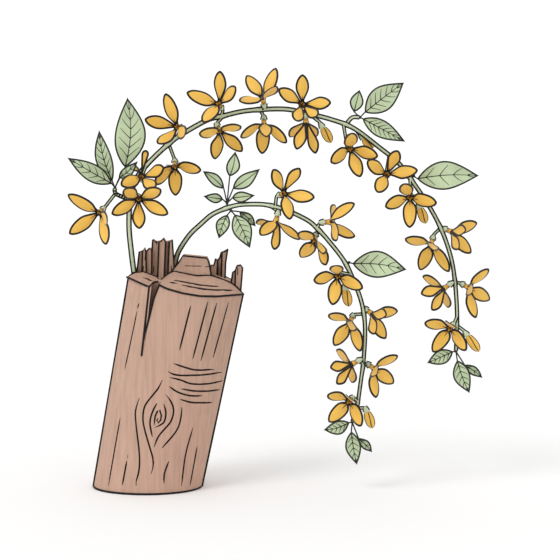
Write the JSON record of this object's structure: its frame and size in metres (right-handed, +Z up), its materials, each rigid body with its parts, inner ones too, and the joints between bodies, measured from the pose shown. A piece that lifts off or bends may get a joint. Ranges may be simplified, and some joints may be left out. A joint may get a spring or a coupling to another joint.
{
  "type": "forsythia branches growing from a broken stump",
  "caption": "Broken leaning stump of old wood with two arching flowering branches, golden four-petalled blooms, buds and leaf sprays.",
  "frame": {"origin": "middle of the stump's flat cut base", "axes": "+Z up, the front that shows the blooms and the knot towards -Y, the branches arch towards +X"},
  "size_m": [0.2958, 0.0815, 0.2938],
  "materials": {
    "old_wood": "matte",
    "green_bark": "satin",
    "petal": "matte",
    "leaf": "satin"
  },
  "bodies": {
    "root": {"stump": "old_wood", "stem_upper": "green_bark", "stem_lower": "green_bark", "bloom_01": "petal", "bloom_02": "petal", "bloom_03": "petal", "bloom_04": "petal", "bloom_05": "petal", "bloom_06": "petal", "bloom_07": "petal", "bloom_08": "petal", "bloom_09": "petal", "bloom_10": "petal", "bloom_11": "petal", "bloom_12": "petal", "bloom_13": "petal", "bloom_14": "petal", "bloom_15": "petal", "bloom_16": "petal", "bloom_17": "petal", "bloom_18": "petal", "bloom_19": "petal", "bloom_20": "petal", "bloom_21": "petal", "bloom_22": "petal", "bloom_23": "petal", "bloom_24": "petal", "bloom_25": "petal", "bloom_26": "petal", "bloom_27": "petal", "bloom_28": "petal", "bloom_29": "petal", "bud_01": "petal", "bud_02": "petal", "bud_03": "petal", "bud_04": "petal", "bud_05": "petal", "bud_06": "petal", "leaves_left_spray": "leaf", "leaves_top_spray": "leaf", "leaf_upper": "leaf", "leaves_upper_tip": "leaf", "leaves_sprout": "leaf", "leaves_under_hub": "leaf", "leaf_lower": "leaf", "leaves_lower_tip": "leaf"}
  },
  "joints": []
}
